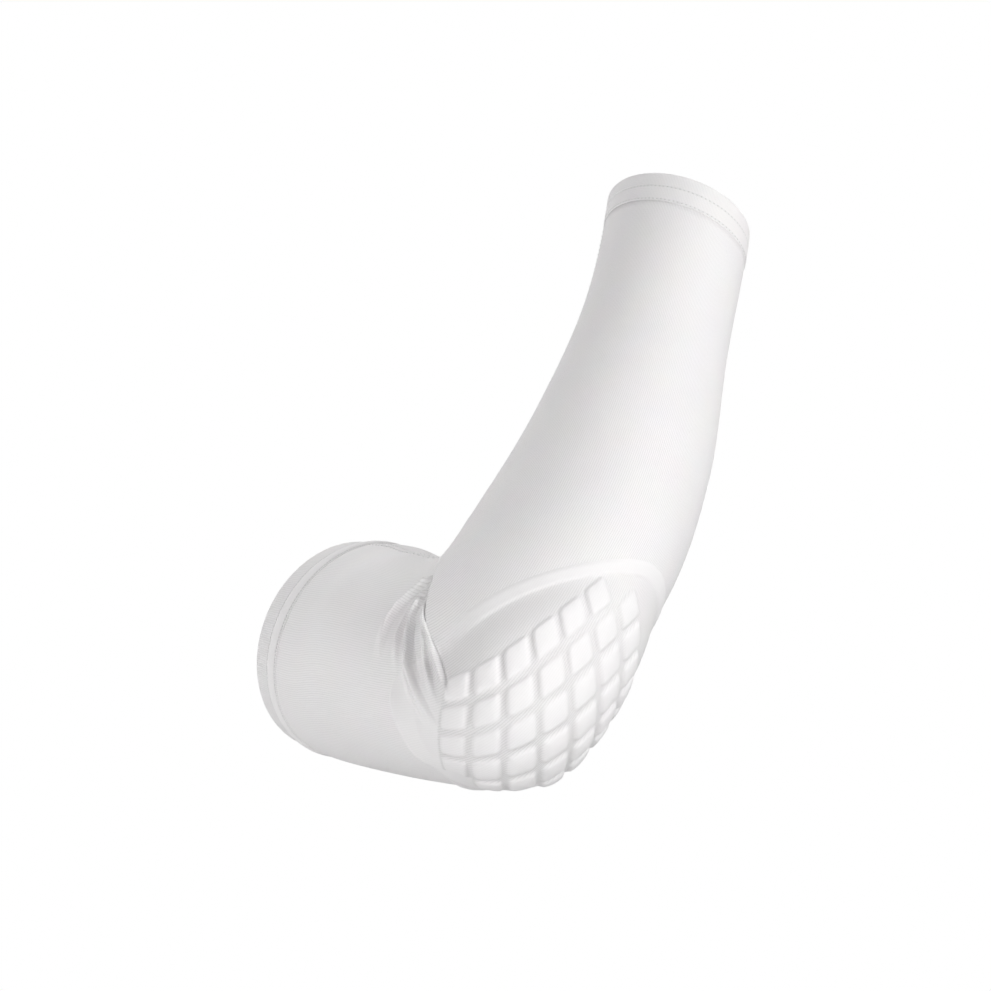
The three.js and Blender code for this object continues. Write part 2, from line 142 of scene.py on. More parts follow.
def sleeve_points(place, angle, rise):
    """Points of the worn form at places and angles, moved out by rise in the plane of their rings. A place
    runs 0 to 1 over the upper arm, 1 to 2 round the elbow and 2 to 3 over the forearm. An angle in degrees is
    0 on the outer line, 90 on the far side, 180 on the crook line and 270 on the near side."""
    upper, elbow, fore = np.clip(place, 0, 1), np.clip(place - 1, 0, 1), np.clip(place - 2, 0, None)
    on_upper, on_fore = place < 1, place > 2
    turn = (math.pi - BEND) * elbow
    rim_turn = FOREARM_RIM_TURN * fore ** 2
    out = np.stack([np.sin(turn), -np.cos(turn)], -1)
    fore_out = np.cos(rim_turn)[:, None] * out_of_forearm + np.sin(rim_turn)[:, None] * along_forearm
    upper_part = (np.maximum(-out[:, 1], 0) / upper_reach) ** ELBOW_SQUARENESS
    fore_part = (np.maximum(out @ out_of_forearm, 0) / forearm_reach) ** ELBOW_SQUARENESS
    elbow_depth = (upper_part + fore_part) ** (-1 / ELBOW_SQUARENESS) - CROOK_RADIUS
    inner = np.where(on_upper, read_sections(UPPER_ARM_SECTIONS, "inner", upper),
                     read_sections(FOREARM_SECTIONS, "inner", fore))
    outer = np.where(on_upper, read_sections(UPPER_ARM_SECTIONS, "outer", upper),
                     read_sections(FOREARM_SECTIONS, "outer", fore))
    width = np.where(on_upper, read_sections(UPPER_ARM_SECTIONS, "width", upper),
                     np.where(on_fore, read_sections(FOREARM_SECTIONS, "width", fore),
                              read_sections(ELBOW_SECTIONS, "width", elbow)))
    half = np.where(on_upper | on_fore, inner + outer, elbow_depth) / 2
    upper_crook = np.stack([-UPPER_ARM_LENGTH + UPPER_SPAN * upper, inner], -1)
    fore_crook = (forearm_base + FOREARM_SPAN * fore)[:, None] * along_forearm
    fore_crook = fore_crook - (FOREARM_BOW * fore ** 2)[:, None] * out_of_forearm - inner[:, None] * fore_out
    elbow_crook = pivot + CROOK_RADIUS * out
    crook = np.where(on_upper[:, None], upper_crook, np.where(on_fore[:, None], fore_crook, elbow_crook))
    out = np.where(on_fore[:, None], fore_out, out)
    outward, across = np.cos(np.radians(angle)), np.sin(np.radians(angle))
    normal = np.stack([outward / half, across / width], -1)
    normal /= np.linalg.norm(normal, axis=1)[:, None]
    reach = half + half * outward + rise * normal[:, 0]
    flat = crook + reach[:, None] * out
    side = FOREARM_SWAY * fore ** 2 + width * across + rise * normal[:, 1]
    return np.stack([flat[:, 0], side, flat[:, 1]], -1)


def length_along(place):
    """Distance along the outside of the sleeve from the upper hem's rim, in metres."""
    lengths = [0, UPPER_SPAN, UPPER_SPAN + ELBOW_SPAN, UPPER_SPAN + ELBOW_SPAN + FOREARM_SPAN]
    return np.interp(place, [0, 1, 2, 3], lengths)


def fold_line(fold):
    """Shares along a fold, its points on the sleeve, and the directions that point to its steep side. The
    line runs from the fold's start to its end and is drawn towards a third place and angle."""
    t = np.linspace(0, 1, FOLD_LINE_POINTS)
    path = np.outer((1 - t) ** 2, fold["start"]) + np.outer(2 * t * (1 - t), fold["towards"])
    path = path + np.outer(t * t, fold["end"])
    points = sleeve_points(path[:, 0], path[:, 1], np.zeros(t.shape))
    outwards = sleeve_points(path[:, 0], path[:, 1], np.full(t.shape, OUTWARD_STEP)) - points
    steep = np.cross(outwards, np.gradient(points, axis=0))
    return t, points, steep / np.linalg.norm(steep, axis=1)[:, None]


def fold_moves(place, angle):
    """Heights of the folds over the worn form and how far the cloth slides over itself there, as vectors. The
    far side has the near side's folds, lower and a little shifted."""
    rise, slide = np.zeros(place.shape), np.zeros((len(place), 3))
    far = np.sin(np.radians(angle)) > 0
    moved = place + np.where(far, FAR_FOLDS["shift"], 0)
    chosen = (moved > FOLD_REGION["start"]) & (moved < FOLD_REGION["end"])
    points = sleeve_points(moved[chosen], angle[chosen], np.zeros(chosen.sum()))
    points[:, 1] = -np.abs(points[:, 1])
    ridges, tucks, slides = np.zeros(len(points)), np.zeros(len(points)), np.zeros(points.shape)
    for fold in FOLDS:
        t, line, steep = fold_line(fold)
        apart = (points ** 2).sum(1)[:, None] + (line ** 2).sum(1)[None, :] - 2 * points @ line.T
        nearest = np.argmin(apart, axis=1)
        away = np.sqrt(np.clip(apart[np.arange(len(points)), nearest], 0, None) + FOLD_CREST_RADIUS ** 2)
        aside = ((points - line[nearest]) * steep[nearest]).sum(1)
        width = fold["half_width"] * np.where(aside > 0, fold["steep"], 1)
        width = width * (FOLD_START_WIDTH + (1 - FOLD_START_WIDTH) * smooth(t[nearest] / FOLD_FULL_WIDTH_AT))
        shape = np.clip(1 - (away - FOLD_CREST_RADIUS) / width, 0, 1) ** FOLD_SHARPNESS
        shape = shape * smooth(t[nearest] / fold["grow"]) * smooth((1 - t[nearest]) / fold["fade"])
        if fold["height"] > 0:
            ridges = np.maximum(ridges, fold["height"] * shape)
        else:
            tucks = tucks + fold["height"] * shape
        slides = slides + (fold["overlap"] * shape)[:, None] * steep[nearest]
    share = np.where(far[chosen], FAR_FOLDS["share"], 1)
    rise[chosen] = (ridges + tucks) * share
    slide[chosen] = slides * np.where(far[chosen, None], FAR_FOLDS["overlap"] * np.array([1, -1, 1]), 1)
    return rise, slide


def grid_sheet(columns, rows):
    """A flat grid to be laid on the sleeve, with a UV map, and its columns' and rows' shares from 0 to 1."""
    sheet = bmesh.new()
    sheet.loops.layers.uv.new("knit")
    bmesh.ops.create_grid(sheet, x_segments=columns, y_segments=rows, size=0.5, calc_uvs=True)
    shares = np.array([vert.co for vert in sheet.verts]) + 0.5
    return sheet, shares[:, 0], shares[:, 1]


def lay_on_sleeve(sheet, place, angle, rise, folded):
    """Moves a grid's points to places and angles on the sleeve, with a share of the folds' moves, and counts
    its wales and courses in the UV map."""
    fold_rise, slide = fold_moves(place, angle)
    points = sleeve_points(place, angle, rise + folded * fold_rise) + np.reshape(folded, (-1, 1)) * slide
    counts = np.stack([angle / 360 * WALES, length_along(place) / COURSE_HEIGHT], -1)
    knit = sheet.loops.layers.uv["knit"]
    for vert, point in zip(sheet.verts, points):
        vert.co = point
    sheet.verts.index_update()
    for face in sheet.faces:
        for loop in face.loops:
            loop[knit].uv = counts[loop.vert.index]


def finish_piece(name, sheet, material):
    """Makes the mesh a smooth object of the sleeve, riding on its one body."""
    mesh = bpy.data.meshes.new(name)
    sheet.to_mesh(mesh)
    sheet.free()
    mesh.polygons.foreach_set("use_smooth", [True] * len(mesh.polygons))
    mesh.materials.append(material)
    piece = bpy.data.objects.new(name, mesh)
    bpy.context.scene.collection.objects.link(piece)
    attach(piece, "root")
    return piece


LOOP_SLANT = 0.5
YARN_WANDER = {"scale": 0.35, "detail": 2, "share": 0.5}
WALE_ROUNDNESS = 2.5
LOOP_DIP = 0.28


def make_knit_group():
    """Node group of the plain knit: V-shaped loops in wales and courses, with uneven yarn."""
    group = bpy.data.node_groups.new("plain_knit", "ShaderNodeTree")
    face = group.interface
    face.new_socket("Wale and course", in_out="INPUT", socket_type="NodeSocketVector")
    face.new_socket("Loop slant", in_out="INPUT", socket_type="NodeSocketFloat").default_value = LOOP_SLANT
    face.new_socket("Yarn height", in_out="OUTPUT", socket_type="NodeSocketFloat")
    face.new_socket("Between yarns", in_out="OUTPUT", socket_type="NodeSocketFloat")
    nodes, links = group.nodes, group.links
    start, end = nodes.new("NodeGroupInput"), nodes.new("NodeGroupOutput")

    def calc(operation, first, second=None):
        node = nodes.new("ShaderNodeMath")
        node.operation = operation
        for socket, value in zip(node.inputs, (first, second)):
            if value is None:
                continue
            if isinstance(value, (int, float)):
                socket.default_value = value
            else:
                links.new(value, socket)
        return node.outputs[0]

    split = nodes.new("ShaderNodeSeparateXYZ")
    links.new(start.outputs["Wale and course"], split.inputs[0])
    wander = nodes.new("ShaderNodeTexNoise")
    wander.inputs["Scale"].default_value = YARN_WANDER["scale"]
    wander.inputs["Detail"].default_value = YARN_WANDER["detail"]
    links.new(start.outputs["Wale and course"], wander.inputs["Vector"])
    shift = calc("MULTIPLY", calc("SUBTRACT", wander.outputs[0], 0.5), YARN_WANDER["share"])
    wale = calc("FRACT", calc("ADD", split.outputs[0], shift))
    from_middle = calc("ABSOLUTE", calc("SUBTRACT", calc("MULTIPLY", wale, 2), 1))
    slanted = calc("ADD", split.outputs[1], calc("MULTIPLY", from_middle, start.outputs["Loop slant"]))
    course = calc("ABSOLUTE", calc("SUBTRACT", calc("MULTIPLY", calc("FRACT", slanted), 2), 1))
    crown = calc("SUBTRACT", 1, calc("POWER", from_middle, WALE_ROUNDNESS))
    loop = calc("ADD", 1 - LOOP_DIP, calc("MULTIPLY", course, LOOP_DIP))
    height = calc("MULTIPLY", crown, loop)
    links.new(height, end.inputs["Yarn height"])
    links.new(calc("POWER", calc("SUBTRACT", 1, height), 2), end.inputs["Between yarns"])
    return group


plain_knit = make_knit_group()
# Colour of knit pressed smooth, without the painted shade between the yarns; on the pad's welt it is painted
# light.
PRESSED_AND_LIT_WHITE = (0.88, 0.866, 0.869, 1)
PRESSED_FLATNESS = 0.7
YARN_DEPTH = 0.0002
MOTTLE = {"scale": 55, "detail": 6, "share": 0.05}


def knit_material(name, yarn, shadow, ribs, groove, groove_ribs):
    """White knit: diffuse yarn with a soft sheen, with painted shade between the yarns and in grooves, and
    smooth and lighter where it is marked as pressed, a mark that also paints light on the pad's welt. The
    yarn shows in a groove by the share groove_ribs, and ribs is its relief's strength."""
    material = bpy.data.materials.new(name)
    material.use_nodes = True
    nodes, links = material.node_tree.nodes, material.node_tree.links
    surface = nodes["Principled BSDF"]
    surface.inputs["Roughness"].default_value = 0.88
    surface.inputs["Specular IOR Level"].default_value = 0.2
    surface.inputs["Sheen Weight"].default_value = 0.12
    surface.inputs["Sheen Roughness"].default_value = 0.5
    counts = nodes.new("ShaderNodeUVMap")
    counts.uv_map = "knit"
    knit = nodes.new("ShaderNodeGroup")
    knit.node_tree = plain_knit
    links.new(counts.outputs[0], knit.inputs["Wale and course"])
    place = nodes.new("ShaderNodeTexCoord")
    mottle = nodes.new("ShaderNodeTexNoise")
    mottle.inputs["Scale"].default_value = MOTTLE["scale"]
    mottle.inputs["Detail"].default_value = MOTTLE["detail"]
    links.new(place.outputs["Object"], mottle.inputs["Vector"])
    # Painted shade: the colour goes towards the shadow colour between the yarns.
    tone = nodes.new("ShaderNodeMix")
    tone.data_type = "RGBA"
    tone.inputs["A"].default_value = yarn
    tone.inputs["B"].default_value = shadow
    links.new(knit.outputs["Between yarns"], tone.inputs["Factor"])
    uneven = nodes.new("ShaderNodeMix")
    uneven.data_type = "RGBA"
    uneven.blend_type = "MULTIPLY"
    uneven.inputs["Factor"].default_value = MOTTLE["share"]
    links.new(tone.outputs["Result"], uneven.inputs["A"])
    links.new(mottle.outputs["Color"], uneven.inputs["B"])
    # Painted shade: points marked as in a groove take the darker groove colour.
    groove_shade_mask = nodes.new("ShaderNodeAttribute")
    groove_shade_mask.attribute_name = "groove"
    low_yarn = nodes.new("ShaderNodeMath")
    low_yarn.operation = "MULTIPLY_ADD"
    low_yarn.inputs[1].default_value = -groove_ribs
    low_yarn.inputs[2].default_value = 1
    links.new(knit.outputs["Yarn height"], low_yarn.inputs[0])
    groove_shade = nodes.new("ShaderNodeMath")
    groove_shade.operation = "MULTIPLY"
    links.new(groove_shade_mask.outputs["Fac"], groove_shade.inputs[0])
    links.new(low_yarn.outputs[0], groove_shade.inputs[1])
    shaded = nodes.new("ShaderNodeMix")
    shaded.data_type = "RGBA"
    shaded.inputs["B"].default_value = groove
    links.new(groove_shade.outputs[0], shaded.inputs["Factor"])
    links.new(uneven.outputs["Result"], shaded.inputs["A"])
    pressed_and_lit = nodes.new("ShaderNodeAttribute")
    pressed_and_lit.attribute_name = "pressed_and_lit"
    pressed = nodes.new("ShaderNodeMix")
    pressed.data_type = "RGBA"
    pressed.inputs["B"].default_value = PRESSED_AND_LIT_WHITE
    links.new(pressed_and_lit.outputs["Fac"], pressed.inputs["Factor"])
    links.new(shaded.outputs["Result"], pressed.inputs["A"])
    links.new(pressed.outputs["Result"], surface.inputs["Base Color"])
    flattened = nodes.new("ShaderNodeMath")
    flattened.operation = "MULTIPLY_ADD"
    flattened.inputs[1].default_value = -PRESSED_FLATNESS
    flattened.inputs[2].default_value = 1
    links.new(pressed_and_lit.outputs["Fac"], flattened.inputs[0])
    raised = nodes.new("ShaderNodeMath")
    raised.operation = "MULTIPLY"
    links.new(knit.outputs["Yarn height"], raised.inputs[0])
    links.new(flattened.outputs[0], raised.inputs[1])
    relief = nodes.new("ShaderNodeBump")
    relief.inputs["Strength"].default_value = ribs
    relief.inputs["Distance"].default_value = YARN_DEPTH
    links.new(raised.outputs[0], relief.inputs["Height"])
    links.new(relief.outputs[0], surface.inputs["Normal"])
    return material


def mark_points(sheet, name, shares):
    """Keeps a share from 0 to 1 on each point for the material."""
    layer = sheet.verts.layers.float.new(name)
    for vert, share in zip(sheet.verts, shares):
        vert[layer] = share


MERGE_DISTANCE = 1e-6
TUBE_COLUMNS = 284
TUBE_ROWS = 244
# The tube's columns go round from the outer line and are closest on the near side. Its rows run along the
# outside, closest at the folds, over the cuff end, back along the inside and over the upper-arm end.
TUBE_TURNS = {"share": [0, 0.045, 0.29, 0.38, 0.96, 1], "angle": [0, 40, 125, 222, 338, 360]}
TUBE_ROW_SHARES = [0, 0.09, 0.15, 0.57, 0.67, 0.84, 0.86, 0.98, 1]
TUBE_INSIDE = [0, 0, 0, 0, 0, 0, 1, 1, 0]
HEM_LAP = 0.94
FOLDED_WALL = 0.0032
FOLDED_PART = {"start": 1.15, "end": 1.7, "blend": 0.1}
UPPER_ARM_STRETCH = {"share": 0.4, "end": 1.1, "blend": 0.5}
KNIT_WHITE = (0.9, 0.886, 0.889, 1)
KNIT_SHADE = (0.69, 0.676, 0.678, 1)
tube_start = UPPER_HEM_LENGTH * HEM_LAP / UPPER_SPAN
tube_end = 3 - CUFF_LENGTH * HEM_LAP / FOREARM_SPAN
tube, turn, row = grid_sheet(TUBE_COLUMNS, TUBE_ROWS)
tube_stops = [tube_start, 1.0, 1.26, 1.64, 2.0, tube_end, tube_end, tube_start, tube_start]
tube_place = np.interp(row, TUBE_ROW_SHARES, tube_stops)
tube_angle = np.interp(turn, TUBE_TURNS["share"], TUBE_TURNS["angle"])
inside = np.interp(row, TUBE_ROW_SHARES, TUBE_INSIDE)
folded = smooth((tube_place - FOLDED_PART["start"]) / FOLDED_PART["blend"])
folded = folded * (1 - smooth((tube_place - FOLDED_PART["end"]) / FOLDED_PART["blend"]))
tube_rise = -inside * (KNIT_WALL + (FOLDED_WALL - KNIT_WALL) * folded)
lay_on_sleeve(tube, tube_place, tube_angle, tube_rise, np.where(inside > 0, 0, 1))
pulled_smooth = 1 - smooth((tube_place - UPPER_ARM_STRETCH["end"]) / UPPER_ARM_STRETCH["blend"])
mark_points(tube, "pressed_and_lit", UPPER_ARM_STRETCH["share"] * pulled_smooth)
bmesh.ops.remove_doubles(tube, verts=tube.verts, dist=MERGE_DISTANCE)
knit_white = knit_material("white_knit", KNIT_WHITE, KNIT_SHADE, ribs=0.36, groove=KNIT_SHADE, groove_ribs=0)
sleeve = finish_piece("knitted_tube", tube, knit_white)
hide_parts("sleeve")

# Hems: at each end the knit is turned in and folded double, and a twin-needle machine sews it down with two
# lines of stitches. A narrow tape under the upper-arm hem's stitching stands up between its two lines.
HEM_COLUMNS = 260
HEM_ROWS = 132
HEM_RISE = 0.0004
HEM_INSIDE = -0.002
HEM_RIM_RADIUS = 0.0012
HEM_SLOPE = 0.001
HEM_EDGE = {"dip": 0.0003, "width": 0.0004}
RIM_ROWS = {"start": 0.7, "end": 0.82}
LAST_INSIDE_ROW = 0.96
HEM_ROW_SHARES = [0, 0.06, 0.24, 0.36, 0.54, RIM_ROWS["start"], RIM_ROWS["end"], LAST_INSIDE_ROW, 1.0]
STITCH_GROOVE = 0.0002
STITCH_ZONE = 0.0008
TAPE_BONDED_AT = 0.25


def hem_ring(name, material, length, from_rim, lines, groove, tape, draw_in, backwards):
    """A hem laid from a closed profile: the outside to the rim, round the rim and back along the inside. The
    lines are the stitches' distances from the rim, which is drawn in a little. A tape is between them."""
    ring, turn, row = grid_sheet(HEM_COLUMNS, HEM_ROWS)
    stops = [
        length,
        lines[1] + STITCH_ZONE, lines[1] - STITCH_ZONE,
        lines[0] + STITCH_ZONE, lines[0] - STITCH_ZONE,
        HEM_RIM_RADIUS, HEM_RIM_RADIUS,
        length, length,
    ]
    distance = np.interp(row, HEM_ROW_SHARES, stops)
    outside = row < RIM_ROWS["start"]
    top = HEM_RISE * smooth((length - distance) / HEM_SLOPE)
    top = top - HEM_EDGE["dip"] * smooth(1 - (length - distance) / HEM_EDGE["width"])
    top = top - draw_in * smooth(1 - distance / lines[0])
    sewn = np.zeros(row.shape)
    for line in lines:
        sewn = np.maximum(sewn, np.exp(-((distance - line) / STITCH_GROOVE) ** 2))
    middle, half = (lines[0] + lines[1]) / 2, (lines[1] - lines[0]) / 2 - STITCH_GROOVE
    raised = np.clip(1 - ((distance - middle) / half) ** 2, 0, 1)
    top = top - groove * sewn + tape * raised
    rise = np.where(outside, top, np.interp(row, [LAST_INSIDE_ROW, 1.0], [HEM_INSIDE, 0]))
    round_rim = (row >= RIM_ROWS["start"]) & (row < RIM_ROWS["end"])
    swing = (row - RIM_ROWS["start"]) / (RIM_ROWS["end"] - RIM_ROWS["start"]) * math.pi
    rim_top = HEM_RISE - draw_in * smooth(1 - HEM_RIM_RADIUS / lines[0])
    rise = np.where(round_rim, (rim_top + HEM_INSIDE) / 2 + (rim_top - HEM_INSIDE) / 2 * np.cos(swing), rise)
    distance = np.where(round_rim, HEM_RIM_RADIUS * (1 - np.sin(swing)), distance)
    lay_on_sleeve(ring, from_rim(distance), turn * 360, rise, 0)
    # Painted shade along the stitch lines, in their grooves and needle holes.
    mark_points(ring, "groove", np.where(outside, sewn, 0))
    mark_points(ring, "pressed_and_lit", np.where(outside & (tape > 0), smooth(raised / TAPE_BONDED_AT), 0))
    if backwards:
        bmesh.ops.reverse_faces(ring, faces=ring.faces)
    bmesh.ops.remove_doubles(ring, verts=ring.verts, dist=MERGE_DISTANCE)
    return finish_piece(name, ring, material)


def from_upper_rim(distance):
    """Place on the sleeve at a distance from the upper-arm hem's rim."""
    return distance / UPPER_SPAN


def from_cuff_rim(distance):
    """Place on the sleeve at a distance from the forearm hem's rim."""
    return 3 - distance / FOREARM_SPAN


HEM_WHITE = (0.872, 0.858, 0.861, 1)
HEM_SHADE = (0.752, 0.738, 0.74, 1)
CUFF_WHITE = (0.9, 0.886, 0.889, 1)
CUFF_SHADE = (0.78, 0.766, 0.768, 1)
# Painted shade: the darker colours of the hems' stitch lines stand for shadow in their grooves and needle
# holes.
STITCH_LINE_SHADE = (0.38, 0.372, 0.372, 1)
CUFF_STITCH_SHADE = (0.56, 0.555, 0.55, 1)
hem_knit = knit_material("hem_knit", HEM_WHITE, HEM_SHADE, ribs=0.45, groove=STITCH_LINE_SHADE, groove_ribs=0)
cuff_knit = knit_material("cuff_knit", CUFF_WHITE, CUFF_SHADE, ribs=0.45, groove=CUFF_STITCH_SHADE,
                          groove_ribs=0)
UPPER_HEM_LINES = [0.0105, 0.017]
CUFF_LINES = [0.0066, 0.0127]
upper_hem = hem_ring("upper_arm_hem_band", hem_knit, UPPER_HEM_LENGTH, from_upper_rim, UPPER_HEM_LINES,
                     groove=0.00035, tape=0.0006, draw_in=0.0002, backwards=True)
cuff = hem_ring("forearm_hem_band", cuff_knit, CUFF_LENGTH, from_cuff_rim, CUFF_LINES,
                groove=0.0002, tape=0, draw_in=0, backwards=False)
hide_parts("upper_arm_hem")
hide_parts("forearm_hem")

# Hem stitches: spun polyester thread, a short bar of it on the surface for each stitch, sunk a little into
# the knit, with a gap at the needle hole between one bar and the next.
STITCH_WIDTH = 0.0006
STITCH_HEIGHT = 0.00032
STITCH_RISE = 0.0002
RING_SAMPLES = 1441
LOOK_AHEAD = 0.5
THREAD_WHITE = (0.86, 0.86, 0.86, 1)
THREAD_SHADE = (0.74, 0.74, 0.74, 1)


def stitch_material():
    """White twisted thread."""
    material = bpy.data.materials.new("white_thread")
    material.use_nodes = True
    nodes, links = material.node_tree.nodes, material.node_tree.links
    surface = nodes["Principled BSDF"]
    surface.inputs["Roughness"].default_value = 0.6
    place = nodes.new("ShaderNodeTexCoord")
    twist = nodes.new("ShaderNodeTexWave")
    twist.bands_direction = "DIAGONAL"
    twist.inputs["Scale"].default_value = 900
    twist.inputs["Distortion"].default_value = 1.5
    links.new(place.outputs["Object"], twist.inputs["Vector"])
    tone = nodes.new("ShaderNodeMix")
    tone.data_type = "RGBA"
    tone.inputs["A"].default_value = THREAD_WHITE
    tone.inputs["B"].default_value = THREAD_SHADE
    links.new(twist.outputs["Fac"], tone.inputs["Factor"])
    links.new(tone.outputs["Result"], surface.inputs["Base Color"])
    strands = nodes.new("ShaderNodeBump")
    strands.inputs["Strength"].default_value = 0.4
    strands.inputs["Distance"].default_value = 0.0001
    links.new(twist.outputs["Fac"], strands.inputs["Height"])
    links.new(strands.outputs[0], surface.inputs["Normal"])
    return material


white_thread = stitch_material()


def add_stitches(sheet, length, place, angle, rise, ahead_place, ahead_angle):
    """Adds a bar of thread of this length at each place and angle, pointing to the place and angle ahead."""
    here = sleeve_points(place, angle, rise)
    ahead = sleeve_points(ahead_place, ahead_angle, rise)
    above = sleeve_points(place, angle, rise + OUTWARD_STEP)
    for a, b, c in zip(here, ahead, above):
        run = Vector(b - a).normalized()
        up = Vector(c - a)
        up = (up - up.dot(run) * run).normalized()
        turn = Matrix((run, up.cross(run), up)).transposed().to_4x4()
        size = Matrix.Diagonal((length / 2, STITCH_WIDTH / 2, STITCH_HEIGHT / 2, 1))
        matrix = Matrix.Translation(Vector(a)) @ turn @ size
        bmesh.ops.create_icosphere(sheet, subdivisions=2, radius=1, matrix=matrix)


def stitch_ring(sheet, pitch, length, place, rise):
    """A line of stitches round a hem, evenly spaced along it."""
    fine = np.linspace(0, 360, RING_SAMPLES)
    line = sleeve_points(np.full(fine.shape, place), fine, np.full(fine.shape, rise))
    run = np.concatenate([[0], np.cumsum(np.linalg.norm(np.diff(line, axis=0), axis=1))])
    count = round(run[-1] / pitch)
    angle = np.interp(np.arange(count) / count * run[-1], run, fine)
    places = np.full(angle.shape, place)
    add_stitches(sheet, length, places, angle, np.full(angle.shape, rise), places, angle + LOOK_AHEAD)


for name, lines, from_rim, pitch, length in (
    ("upper_arm_hem_stitches", UPPER_HEM_LINES, from_upper_rim, 0.0015, 0.0009),
    ("forearm_hem_stitches", CUFF_LINES, from_cuff_rim, 0.0019, 0.0014),
):
    thread = bmesh.new()
    for line in lines:
        stitch_ring(thread, pitch, length, from_rim(line), STITCH_RISE)
    finish_piece(name, thread, white_thread)

# Flat seam: the tube's two edges butted and overlocked together, a low strip along the crook side from hem to
# hem, with a slanted stitch on each side of it.
SEAM_ANGLE = 219
SEAM_HALF_WIDTH = 0.0021
SEAM_RISE = 0.0004
SEAM_SUNK = 0.0002
SEAM_FLATNESS = 4
SEAM_RING_RADIUS = 0.038
SEAM_COLUMNS = 8
SEAM_ROWS = 300
SEAM_ROW_SHARES = [0, 0.2, 0.6, 1]
SEAM_SAMPLES = 3000
SEAM_STITCH = {"pitch": 0.0024, "length": 0.0011, "aside": 0.0014, "run": 0.0008, "slant": 0.0005}
SEAM_END_GAP = 0.001
seam, across, row = grid_sheet(SEAM_COLUMNS, SEAM_ROWS)
seam_place = np.interp(row, SEAM_ROW_SHARES, [tube_start, 1.0, 2.0, tube_end])
seam_side = (across * 2 - 1) * math.degrees(SEAM_HALF_WIDTH / SEAM_RING_RADIUS)
seam_crown = SEAM_RISE * (1 - (across * 2 - 1) ** SEAM_FLATNESS) - SEAM_SUNK
lay_on_sleeve(seam, seam_place, SEAM_ANGLE + seam_side, seam_crown, 1)
flat_seam = finish_piece("flat_seam", seam, knit_white)
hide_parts("inner_seam")
thread = bmesh.new()
fine = np.linspace(tube_start, tube_end, SEAM_SAMPLES)
line = sleeve_points(fine, np.full(fine.shape, SEAM_ANGLE), np.zeros(fine.shape))
run = np.concatenate([[0], np.cumsum(np.linalg.norm(np.diff(line, axis=0), axis=1))])
for side in (-1, 1):
    stops = np.arange(SEAM_END_GAP, run[-1] - SEAM_END_GAP, SEAM_STITCH["pitch"])
    stitch_place = np.interp(stops, run, fine)
    next_place = np.interp(stops + SEAM_STITCH["run"], run, fine)
    side_angle = SEAM_ANGLE + side * math.degrees(SEAM_STITCH["aside"] / SEAM_RING_RADIUS)
    stitch_angle = np.full(stops.shape, side_angle)
    next_angle = stitch_angle - side * math.degrees(SEAM_STITCH["slant"] / SEAM_RING_RADIUS)
    stitch_rise = np.full(stops.shape, SEAM_RISE - SEAM_SUNK)
    add_stitches(thread, SEAM_STITCH["length"], stitch_place, stitch_angle, stitch_rise,
                 next_place, next_angle)
seam_stitches = finish_piece("seam_stitches", thread, white_thread)

# Elbow pad: diamond blocks of foam on a thin foam panel, moulded together and bonded under the knit, which is
# drawn tight over them and down into the grooves; a smooth raised border runs round the forearm side.
LATTICE_LAST = 6
LATTICE_ROUNDS = 12
LATTICE_REACH = 9
LATTICE = {"place": 1.585, "angle": 12.3}
STEP_ALONG = {"place": 0.0512, "growth": 0.0007, "angle": -3.49}
STEP_AROUND = {"angle": 9.76, "shrink": 0.0204, "place": 0.0114}
PAD_CENTRE = {"place": 1.658, "angle": 6}
PAD_HALF_ANGLE = 74
PAD_TWIST = 0.08
FOREARM_SIDE = {"half": 0.326, "roundness": 1.7}
UPPER_ARM_SIDE = {"half": 0.324, "roundness": 2.6}
DOME_RISE = 0.0023
DOME_EDGE = 0.92
DOME_WIDTH = 0.28
BLOCK_RISE = 0.00125
BLOCK_CROWN = 0.0004
BLOCK_SQUARENESS = 6
BLOCK_TOP = 0.325
BLOCK_FOOT = 0.45
BAND_RISE = 0.0005
BAND = {"start": 0.89, "top": 0.92, "edge": 0.98, "end": 1.05}
BAND_PART = {"start": -0.15, "blend": 0.4}
BOND_EDGE = {"start": 1.01, "blend": 0.02}
BLOCK_BOND = 0.65
# Painted light on the welt on the pad's upper-arm side, where there are no blocks.
LIT_WELT = {"start": -0.35, "blend": 0.25, "edge": 0.98, "edge_blend": 0.04, "shade_lost": 0.9}
SKIRT_RISE = 0.0013
SKIRT_EDGE = 0.035
SKIRT_PART = {"start": -0.25, "blend": 0.4}
GROOVE_END = {"at": 0.97, "blend": 0.12}
PAD_UNDER = -0.0006
PAD_TURN_UNDER = {"start": 0.99, "blend": 0.09}
PAD_REACH = 1.1
PAD_COLUMNS = 208
PAD_ROWS = 226
PAD_NEAR_COLUMNS = 0.6
SPANNED = {"share": 0.6, "start": 3, "blend": 3}
FOAM_BACK = 0.0004
# Painted shade: the pad's shadow colour between the yarns and its darker colour in the grooves between the
# blocks.
PAD_SHADE = (0.77, 0.756, 0.758, 1)
PAD_GROOVE_SHADE = (0.68, 0.67, 0.67, 1)


def pad_shares(place, angle):
    """Shares around and along the pad: 0 at its centre, 1 on its edge."""
    around = (np.mod(angle - PAD_CENTRE["angle"] + 180, 360) - 180) / PAD_HALF_ANGLE
    along = place - PAD_CENTRE["place"] - PAD_TWIST * around
    return around, along / np.where(along > 0, FOREARM_SIDE["half"], UPPER_ARM_SIDE["half"])


def pad_distance(around, along):
    """Distance from the pad's centre: 1 on its rounded edge, which is fuller on the upper-arm side."""
    power = np.where(along > 0, FOREARM_SIDE["roundness"], UPPER_ARM_SIDE["roundness"])
    return (np.abs(around) ** power + np.abs(along) ** power) ** (1 / power)


